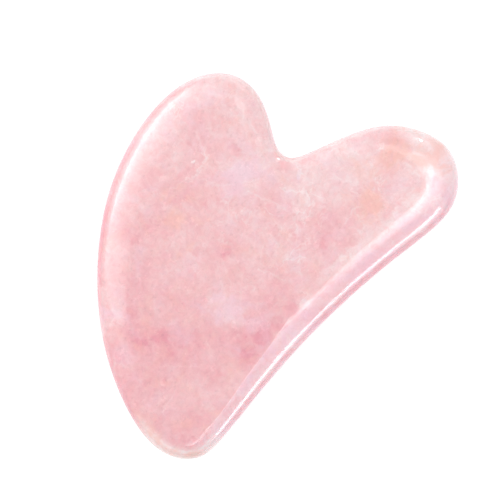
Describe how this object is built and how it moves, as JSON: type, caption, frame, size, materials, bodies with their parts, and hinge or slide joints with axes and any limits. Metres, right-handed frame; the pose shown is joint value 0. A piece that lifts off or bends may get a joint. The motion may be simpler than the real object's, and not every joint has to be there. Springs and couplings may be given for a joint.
{
  "type": "gua sha scraper",
  "caption": "Flat massage scraper of polished pale pink stone, a slanted heart with a long concave scraping edge, uneven lobes, a notch between them and a rounded rim.",
  "frame": {"origin": "middle of the outline's bounding box, on the flat back face", "axes": "+X along the long scraping edge, from the pointed end to the wide lobe; +Y across to the top of the back edge; +Z out of the upper flat face"},
  "size_m": [0.08, 0.054, 0.007],
  "materials": {
    "rose_quartz": "polished, slightly translucent"
  },
  "bodies": {
    "root": {"stone": "rose_quartz"}
  },
  "joints": []
}
